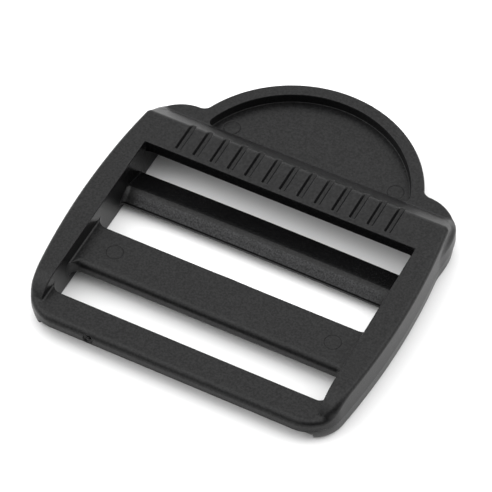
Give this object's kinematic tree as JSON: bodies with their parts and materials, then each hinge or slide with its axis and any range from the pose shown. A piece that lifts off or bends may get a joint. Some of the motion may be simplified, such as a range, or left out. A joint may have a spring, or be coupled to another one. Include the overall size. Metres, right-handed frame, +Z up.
{
  "type": "webbing slider buckle",
  "caption": "Moulded ladder slider that holds webbing between crossbars and lets it slide when its round thumb tab is lifted.",
  "frame": {"origin": "centre of the bounding box, on the plane of the feet", "axes": "+Z up through the part, +Y from the front bar towards the thumb tab, +X across the webbing"},
  "size_m": [0.048, 0.053, 0.0069],
  "materials": {
    "black_plastic": "fine spark texture, satin-matte"
  },
  "bodies": {
    "root": {"slider_body": "black_plastic"}
  },
  "joints": []
}
